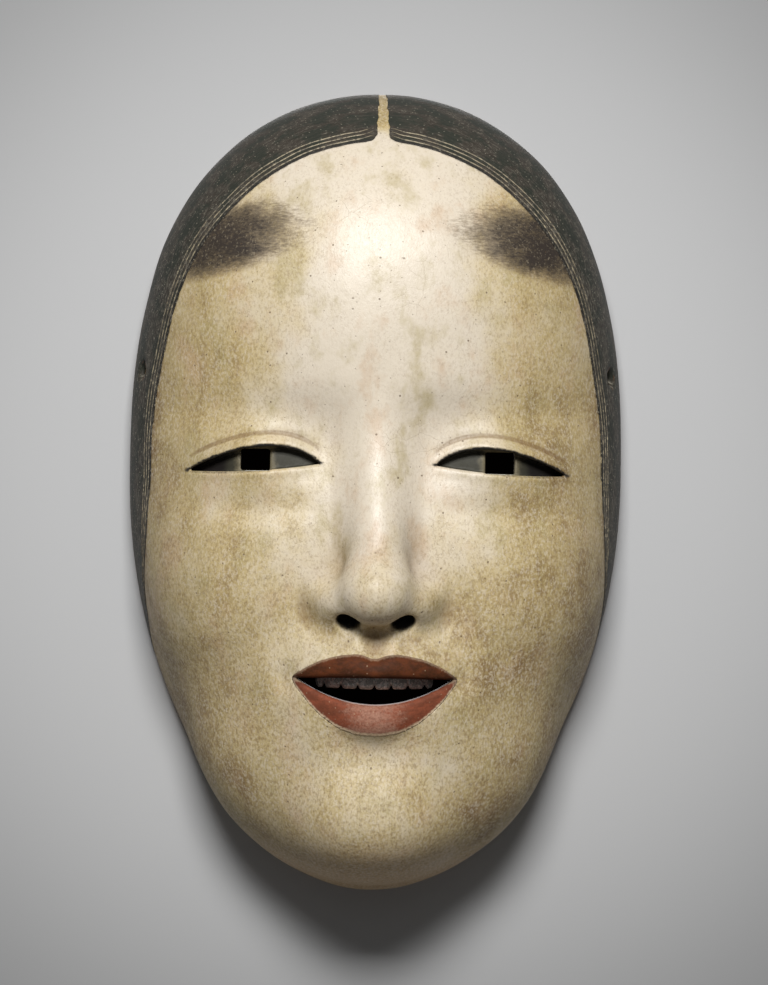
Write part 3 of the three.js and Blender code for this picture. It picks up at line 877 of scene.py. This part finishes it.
def dots(paint, place, spacing, radius, share):
    """Small round specks, one in that share of the cells."""
    cells, distance = paint.cells(spacing, place, "F1")
    luck = Number(paint, paint.node("ShaderNodeSeparateColor", {0: cells.outputs["Color"]}).outputs[0])
    return distance.rise(radius, radius * 0.4) * luck.rise(1 - share - 0.01, 1 - share + 0.01)


def cracks(paint, size, width):
    """A net of fine cracks."""
    warped = paint.noise(size * 0.8, 3.0, 0.6)
    place = paint.plane(paint.x + warped * 2.2, paint.z + warped * 1.7)
    _, distance = paint.cells(size, place, "DISTANCE_TO_EDGE")
    return distance.rise(width, width * 0.25)


def brow(paint):
    """How thick the paint of the two brows lies: soft smudges high on the forehead, streaked by the brush."""
    middle, height, lean = 37.0, 65.0, math.radians(-17)
    m = paint.x.abs()
    u = (m - middle) * math.cos(lean) + (paint.z - height) * math.sin(lean)
    v = (paint.z - height) * math.cos(lean) - (m - middle) * math.sin(lean) + u * u * 0.004
    reach = (u / 27.0) ** 2 + (v.most(0) / 12.0) ** 2 + ((v * -1.0).most(0) / 10.0) ** 2
    soft = reach.rise(1.0, 0.0)
    dark = soft * (0.26 + u.rise(-24, 4) * 0.80 - u.rise(8, 26) * 0.22)
    hairs = paint.noise(0.8, 3.0, 0.7, (2.6, 1, 0.6, 2.0)) - 0.5
    clumps = paint.noise(4.5, 3.0, 0.6, (1.8, 1, 0.8, 5.0)) - 0.5
    return dark + (hairs + clumps * 0.7) * soft.rise(0, 0.6)


def ground_paint():
    """Aged shell white: ivory where hands and cloth have burnished it, tan and brown towards the sides."""
    paint = Paint("shell_white", IVORY)
    m, z = paint.x.abs(), paint.z
    edge, form = paint.shape("edge"), paint.shape("form")
    broad = paint.noise(30, 3.0, 0.55, (1, 1, 1, 61.0))
    cloudy = paint.noise(9, 4.0, 0.62, (1, 1, 1.3, 4.0))
    fine = paint.noise(0.9, 3.0, 0.65, (1, 1, 1.8))
    grit = paint.noise(0.66, 2.0, 0.75, (1, 1, 1.5, 19.0))
    aside = (m + (z - 20) * -0.10).rise(2, 48)
    low = z.rise(10, -70)
    turned = paint.y.rise(-36, -4)
    # The ground has yellowed most at the sides, low down, at the rim and in the parting.
    age = aside * 0.72 + low * (0.51 - aside * 0.47) + turned * 0.36
    age = age + (broad - 0.5) * 1.1 + (cloudy - 0.5) * 0.8 + z.rise(91, 97) * 0.8
    paint.lay(age.rise(0.05, 0.75), CREAM)
    paint.lay((age + (fine - 0.5) * 0.5).rise(0.35, 1.25), TAN)
    tint = paint.noise(11, 4.0, 0.65, (1, 1, 1.5, 30.0))
    paint.lay(tint.rise(0.50, 0.70) * 0.6, OLIVE)
    paint.lay(tint.rise(0.48, 0.28) * 0.5, ROSE)
    stain = age * 0.58 + turned * 0.4 - z.rise(10, 45) * 0.22
    stain = stain + (cloudy - 0.5) * 1.6 + (broad - 0.5) * 0.9 + (paint.noise(2.0, 4.0, 0.75) - 0.5) * 1.2
    paint.lay(stain.rise(0.42, 1.25) * 0.85, PATINA)
    # partly the ground's own warm brown and partly painted bounce light: lighter colour where the chin faces
    # down
    paint.lay(z.rise(-86, -101) * 0.8, (0.48, 0.31, 0.16))  # under the chin
    clustered = paint.noise(6, 2.0, 0.5, (1, 1, 1.4, 17.0)).rise(0.38, 0.62)
    aged = age.least(1.2) + low * 0.35
    grains = speckle(paint, (1, 1, 1.5, 11.0), 0.60, 0.16) * (0.4 + clustered * 0.6)
    paint.lay(grains * (0.10 + aged * 0.32), PATINA)
    flecks = speckle(paint, (1, 1, 1.4, 27.0), 0.70, 0.14) * (1.0 - clustered * 0.45)
    paint.lay(flecks * (0.16 + aged * 0.34), IVORY)
    paint.lay(grit.rise(0.52, 0.64) * (0.14 + aged * 0.40), (0.23, 0.155, 0.075))
    paint.lay(grit.rise(0.46, 0.36) * (0.12 + aged * 0.38), (0.62, 0.53, 0.37))
    creases = (edge * -1.0).rise(0.02, 0.5).most((form * -1.0).rise(0.12, 0.9) * 0.7)
    paint.lay(creases * (0.30 + fine * 0.6), PATINA)
    net = cracks(paint, 4.0, 0.08) * paint.noise(18, 2.0, 0.5).rise(0.58, 0.72)
    paint.lay(net * 0.20, PATINA)
    brows = brow(paint)
    paint.lay(brows.rise(0.0, 0.6) * 0.6, (0.20, 0.135, 0.070))
    paint.lay(brows.rise(0.10, 1.10) * 0.98, SOOT)
    paint.lay(grit.rise(0.58, 0.68) * brows.rise(0.2, 0.8) * 0.45, (0.30, 0.25, 0.17))
    large, small = dots(paint, paint.skin(), 6.0, 0.36, 0.18), dots(paint, paint.skin(), 2.9, 0.24, 0.18)
    specks = large.most(small * 0.6)
    paint.lay(specks * 0.75, (0.10, 0.06, 0.03))
    # brushed ink along the lids, and painted shade inside the nostrils
    lid_ink_and_nostril_shade_amount = paint.shape("lid_ink_and_nostril_shade")
    paint.lay((lid_ink_and_nostril_shade_amount + (fine - 0.5) * 0.5 * lid_ink_and_nostril_shade_amount.rise(0, 0.3)).rise(0.30, 0.95), INK)
    chips = (edge + (paint.noise(2.2) - 0.5) * 1.3).rise(0.55, 0.75) * paint.y.rise(-9, -2)
    paint.lay(chips * 0.8, BARE_WOOD)
    uneven = paint.noise(14, 2.0) * 0.25 + paint.noise(3.2) * 0.06 + fine * 0.02
    paint.relief(uneven - net * 0.03 - specks * 0.06 - grains * 0.018 + flecks * 0.012)
    rough = 0.41 + age.rise(0, 1.4) * 0.15 + low * 0.09 + creases * 0.12 + (fine - 0.5) * 0.16
    return paint.done(rough + brows.rise(0, 1) * 0.15, 0.40)


def hair_paint():
    """Worn black: brush lines along the hair, brown and green casts, and pale scratches rubbed through it."""
    paint = Paint("hair_black", (0.022, 0.025, 0.018))
    across, along = paint.shape("across"), paint.shape("along")
    combed = paint.noise(1.0, 3.0, 0.65, paint.plane(across * 1.5, along * 0.10))
    broad = paint.noise(9, 4.0, 0.65, paint.plane(across * 1.4, along * 0.8))
    paint.lay(broad.rise(0.42, 0.58), (0.034, 0.027, 0.020))
    paint.lay(combed.rise(0.40, 0.70) * (0.2 + broad.rise(0.35, 0.65) * 0.6), (0.068, 0.060, 0.047))
    paint.lay(across.rise(1.0, 0.4) * 0.8, INK)
    side = paint.z.rise(98, 50)
    rubbed = paint.noise(0.9, 4.0, 0.8, paint.plane(across * 1.2, along * 0.42)) + (broad - 0.5) * 0.35
    rubbed = (rubbed + side * 0.03).rise(0.52, 0.66) * (0.3 + side * 0.7)
    paint.lay(rubbed * 0.7, (0.17, 0.155, 0.120))
    scratched = paint.noise(0.5, 2.0, 0.8, paint.plane(across * 1.3 - along * 0.2, along * 0.16))
    scratched = scratched.rise(0.60, 0.68) * (broad + side * 0.12).rise(0.46, 0.60)
    paint.lay(scratched * 0.8, (0.30, 0.27, 0.21))
    bits = dots(paint, paint.plane(across, along), 1.5, 0.27, 0.26) * (0.35 + side * 0.4)
    paint.lay(bits, (0.42, 0.38, 0.29))
    worn = (paint.shape("edge") + (paint.noise(2.5) - 0.5) * 1.2).rise(0.55, 0.8)
    paint.lay(worn * 0.75, (0.16, 0.085, 0.05))
    paint.relief(combed * 0.05 - rubbed * 0.04 - scratched * 0.04 + paint.noise(12, 2.0) * 0.15)
    return paint.done(0.64 + (combed - 0.5) * 0.25, 0.25)


def strand_paint():
    paint = Paint("hair_strand_ivory", (0.38, 0.32, 0.21))
    worn = (paint.noise(1.1, 4.0, 0.75) + paint.z.rise(96, 70) * 0.06).rise(0.46, 0.62)
    paint.lay(paint.noise(6).rise(0.3, 0.7), (0.20, 0.16, 0.10))
    paint.lay(worn * 0.9, (0.06, 0.052, 0.042))
    return paint.done(0.5 + worn * 0.1)


def lip_paint(name, fresh, old, rubbed_share):
    """Vermilion, rubbed thin on its crown, with a pale crust along its border."""
    paint = Paint(name, fresh)
    border = paint.shape("border")
    cloudy = paint.noise(3.0, 4.0, 0.7, (1.6, 1, 0.8))
    fine = paint.noise(0.7, 3.0, 0.75)
    paint.lay(cloudy.rise(0.36, 0.64), old)
    middle = paint.x.abs().rise(13, 3) * rubbed_share
    rubbed = (middle + (cloudy - 0.5) * 1.3 + (fine - 0.5) * 0.9).rise(0.25, 0.95)
    paint.lay(rubbed * 0.85, (0.40, 0.21, 0.145))
    crust = (border + (fine - 0.5) * 1.1 - rubbed_share * 0.25).rise(0.8, 0.2)
    paint.lay(crust * (0.25 + rubbed_share * 0.9), (0.62, 0.48, 0.32))
    flecks = speckle(paint, (1, 1, 1, 8.0), 0.6, 0.16)
    paint.lay(flecks * 0.35, (0.10, 0.03, 0.018))
    paint.lay(dots(paint, paint.skin(), 1.6, 0.20, 0.20) * 0.5, (0.45, 0.32, 0.20))
    paint.lay(paint.y.rise(-54.5, -50.5), (0.030, 0.011, 0.008))  # inside the mouth
    paint.relief(cloudy * 0.12 + fine * 0.05)
    return paint.done(0.52 + fine * 0.25, 0.10)


def eye_paint():
    """Yellowed white beside the pupil, dark towards the corners, with black round the opening."""
    paint = Paint("painted_eye", (0.17, 0.145, 0.090))
    from_middle = (paint.x.abs() - (EYE_X + PUPIL_SHIFT[0])).abs()
    cloudy = paint.noise(2.4, 3.0, 0.6)
    paint.lay((from_middle + (cloudy - 0.5) * 3).rise(3.4, 6.0), (0.040, 0.038, 0.026))
    paint.lay(speckle(paint, (1, 1, 1), 0.6, 0.3) * 0.35, SOOT)
    paint.lay(paint.y.rise(-45.5, -43.5), (0.012, 0.010, 0.009))  # the walls of the pupil
    paint.relief(cloudy * 0.08)
    return paint.done(0.5 + cloudy * 0.15, 0.25)


def teeth_paint():
    """Blackened teeth, greyed by wear, with pale rubbed tips."""
    paint = Paint("blackened_teeth", (0.06, 0.060, 0.057))
    fine = paint.noise(0.9, 3.0, 0.8)
    facing = ((paint.x / MOUTH_HALF) ** 2 * 7.0 - paint.y).rise(51.2, 52.2)
    wear = (paint.z + (fine - 0.5) * 2.0).rise(-45.8, -47.4) * facing
    paint.lay(wear, (0.48, 0.53, 0.50))
    paint.lay(fine.rise(0.50, 0.54) * facing * wear.most(0.5), (0.95, 0.97, 0.92))
    paint.relief(fine * 0.12)
    return paint.done(0.35 + fine * 0.2)


def lacquer_paint():
    """Brown-black lacquer over the gouge marks, rubbed to brown where a wearer's face has touched it."""
    paint = Paint("back_lacquer", (0.034, 0.019, 0.012))
    broad = paint.noise(26)
    fine = paint.noise(1.6, 4.0, 0.65)
    paint.lay(broad.rise(0.35, 0.7), (0.070, 0.036, 0.020))
    worn = (paint.shape("edge") * 1.3 + (fine - 0.5) * 0.9 + (broad - 0.5) * 0.6).rise(0.18, 0.75)
    paint.lay(worn * 0.55, (0.15, 0.075, 0.035))
    paint.lay(paint.y.rise(-6, -1) * fine.rise(0.35, 0.6) * 0.5, BARE_WOOD)
    paint.relief(fine * 0.05)
    return paint.done(0.26 + fine * 0.22 + worn * 0.12)


def wood_paint():
    """Old cypress: fine straight grain along the mask, darkened by handling at the rim."""
    paint = Paint("cypress", (0.34, 0.20, 0.10))
    grain = paint.noise(1.0, 4.0, 0.6, (0.9, 1.4, 26))
    rings = paint.noise(3.5, 2.0, 0.5, (1, 1.2, 30, 9.0))
    paint.lay(rings.rise(0.35, 0.65), (0.22, 0.12, 0.055))
    paint.lay(grain.rise(0.45, 0.75) * 0.6, (0.12, 0.06, 0.028))
    handled = paint.noise(12, 4.0, 0.6).rise(0.42, 0.7)
    paint.lay(handled * 0.6, (0.07, 0.036, 0.02))
    inside = (paint.x.abs() - 58).rise(0, -3) * paint.y.rise(-6, -12)
    paint.lay(inside, (0.02, 0.012, 0.009))
    paint.relief(grain * 0.10)
    return paint.done(0.55 + grain * 0.2)


# ------------ the pieces


def even_lines(step, *ranges):
    return tuple(np.arange(low, high + step, step) for low, high in ranges)


def make_coats():
    """Ground, hair, lips and eyes: the outside of the face, divided along its painted edges."""
    lines = (
        graded_lines(-67.5, 67.5, -51, 51, FINE, MEDIUM),
        graded_lines(-1.6, 72.0, 36, 68, FINE, MEDIUM),
        graded_lines(-109, 109, -66, 20, FINE, MEDIUM),
    )
    # The coats end at the flat rim.
    surface = clipped(*surface_of(face, lines), lambda points: points[:, 1] - 0.2)

    def coat(name, side, material, slot, node, proud=0.0):
        finished(coat_piece(name, surface, side, proud), material, slot, node)

    coat("shell_white_ground", on_ground, ground_paint(), "gofun", "face_coat")
    black = hair_paint()
    coat("hair_black_left", side_of(-1, on_hair), black, "ink_black", "hair_left", HAIR_PROUD)
    coat("hair_black_right", side_of(1, on_hair), black, "ink_black", "hair_right", HAIR_PROUD)
    red = lip_paint("upper_lip_red", (0.105, 0.030, 0.010), (0.050, 0.018, 0.007), 0.02)
    coat("upper_lip_paint", on_lip(True), red, "upper_red", "upper_lip", LIP_PROUD)
    vermilion = lip_paint("lower_lip_vermilion", (0.240, 0.068, 0.034), (0.160, 0.050, 0.026), 0.70)
    coat("lower_lip_paint", on_lip(False), vermilion, "lower_red", "lower_lip", LIP_PROUD)
    painted = eye_paint()
    coat("eye_painted_left", side_of(-1, on_eye), painted, "eye_paint", "eye_left")
    coat("eye_painted_right", side_of(1, on_eye), painted, "eye_paint", "eye_right")


def make_block():
    """The cypress block, and the lacquer in its hollow."""
    lines = even_lines(COARSE, (-67, 67), (-2.1, 71), (-108.5, 108.5))
    points, triangles = surface_of(block, lines, rounds=1)
    wood = mesh_object("cypress_block", points, triangles)
    finished(wood, wood_paint(), "cypress", "cypress_core")
    back = clipped(points, triangles, in_hollow)
    bend = bend_of(block, back[0], 2.2)
    coat = shell(block, *back, LACQUER, COAT_KEY)
    lacquer = mesh_object("back_lacquer_coat", *coat, {"edge": np.tile(bend, 2)})
    finished(lacquer, lacquer_paint(), "urushi", "back_lacquer")


def make_teeth():
    lines = even_lines(0.36, (-16.5, 16.5), (40, 54), (-53, -43))
    row = mesh_object("upper_teeth_row", *surface_of(teeth, lines))
    finished(row, teeth_paint(), "blackened", "upper_teeth")


def make_strands():
    ivory = strand_paint()
    finished(strands("hair_strands_left", -1), ivory, "gofun")
    finished(strands("hair_strands_right", 1), ivory, "gofun")


# ------------ stage, light and camera

FLOOR_Z = -0.60
WALL_GAP = 0.0006  # the rim lies almost against the wall
CORNER = 0.12  # radius of the bend from wall to floor
UNSEEN = (58, 98)  # half size of the painted shadow patch on the wall behind the mask, millimetres


def backdrop_paint():
    """A pale grey with painted shade that darkens it away from the middle, seen from its front only: the back
    stays in view.

    The patch behind the mask is painted shadow, dark so that the pupils look black.
    """
    paint = Paint("backdrop_grey", (0.47, 0.47, 0.47))
    x, z = paint.x / 150, paint.z / 150
    # painted shade: the grey darkens towards the corners and the bottom
    shade = (x * x + z * z).rise(0.10, 1.5) * 1.05
    behind = ((paint.x / UNSEEN[0]) ** 2 + (paint.z / UNSEEN[1]) ** 2).rise(1.0, 0.8)
    paint.lay(shade.least(1), (0.27, 0.27, 0.27))
    # painted shadow: a near-black patch on the wall behind the mask
    paint.lay(behind, INK)
    material = paint.done(0.9, 0.1)
    behind_it = paint.node("ShaderNodeNewGeometry").outputs["Backfacing"]
    clear = paint.node("ShaderNodeBsdfTransparent").outputs[0]
    mix = paint.node("ShaderNodeMixShader", {0: behind_it, 1: paint.shader.outputs[0], 2: clear})
    paint.put(mix.outputs[0], paint.tree.nodes["Material Output"].inputs["Surface"])
    return material


def make_stage():
    """One pale sheet: a wall behind the mask that bends into a floor."""
    bend = [
        (WALL_GAP - CORNER * (1 - math.cos(a)), FLOOR_Z + CORNER * (1 - math.sin(a)))
        for a in np.linspace(0, math.pi / 2, 13)
    ]
    profile = [(WALL_GAP, 1.2), *bend, (-2.4, FLOOR_Z)]
    half = 1.6
    vertices = [(side * half, y, z) for y, z in profile for side in (-1, 1)]
    faces = [(2 * i, 2 * i + 2, 2 * i + 3, 2 * i + 1) for i in range(len(profile) - 1)]
    mesh = bpy.data.meshes.new("backdrop")
    mesh.from_pydata(vertices, [], faces)
    mesh.polygons.foreach_set("use_smooth", [True] * len(faces))
    mesh.materials.append(backdrop_paint())
    sheet = bpy.data.objects.new("backdrop", mesh)
    bpy.context.scene.collection.objects.link(sheet)
    sheet.visible_shadow = False  # the lamp behind the wall lights the mask's hollow


def area_light(name, place, aim, size, power):
    light = bpy.data.lights.new(name, "AREA")
    light.shape = "RECTANGLE"
    light.size, light.size_y = size
    light.energy = power
    lamp = bpy.data.objects.new(name, light)
    lamp.location = place
    lamp.rotation_euler = (Vector(aim) - Vector(place)).to_track_quat("-Z", "Y").to_euler()
    bpy.context.scene.collection.objects.link(lamp)


def make_lights():
    area_light("key_above", (-0.02, -0.88, 0.50), (0, -0.03, 0.0), (0.38, 0.24), 12.5)
    area_light("front_fill", (0.0, -1.6, 0.45), (0, 0, 0), (0.9, 0.4), 0.7)
    area_light("back_fill", (0.0, 1.2, 0.3), (0, 0, 0), (0.4, 0.4), 5)
    world = bpy.data.worlds.new("studio")
    world.use_nodes = True
    background = world.node_tree.nodes["Background"].inputs
    background["Color"].default_value = (0.92, 0.95, 1.0, 1)
    background["Strength"].default_value = 0.04
    bpy.context.scene.world = world


CAMERA_DISTANCE = 1.25
PICTURE_HEIGHT = 0.2637  # height of the picture at the rim plane
AIM = (0.0024, 0.0, 0.0)
ROLL = math.radians(0.9)
YAW = math.radians(-0.8)


def make_camera():
    camera = bpy.data.cameras.new("camera")
    camera.sensor_width = 36  # the picture's long side
    camera.lens = camera.sensor_width * CAMERA_DISTANCE / PICTURE_HEIGHT
    camera.clip_start, camera.clip_end = 0.05, 20
    seat = bpy.data.objects.new("camera", camera)
    back = Vector((math.sin(YAW), -math.cos(YAW), 0)) * CAMERA_DISTANCE
    seat.location = Vector(AIM) + back
    look = (Vector(AIM) - seat.location).to_track_quat("-Z", "Y").to_matrix().to_4x4()
    seat.rotation_euler = (look @ Matrix.Rotation(ROLL, 4, "Z")).to_euler()
    bpy.context.scene.collection.objects.link(seat)
    bpy.context.scene.camera = seat


make_coats()
make_block()
make_teeth()
make_strands()
make_stage()
make_lights()
make_camera()

bpy.context.scene.view_settings.view_transform = "Standard"
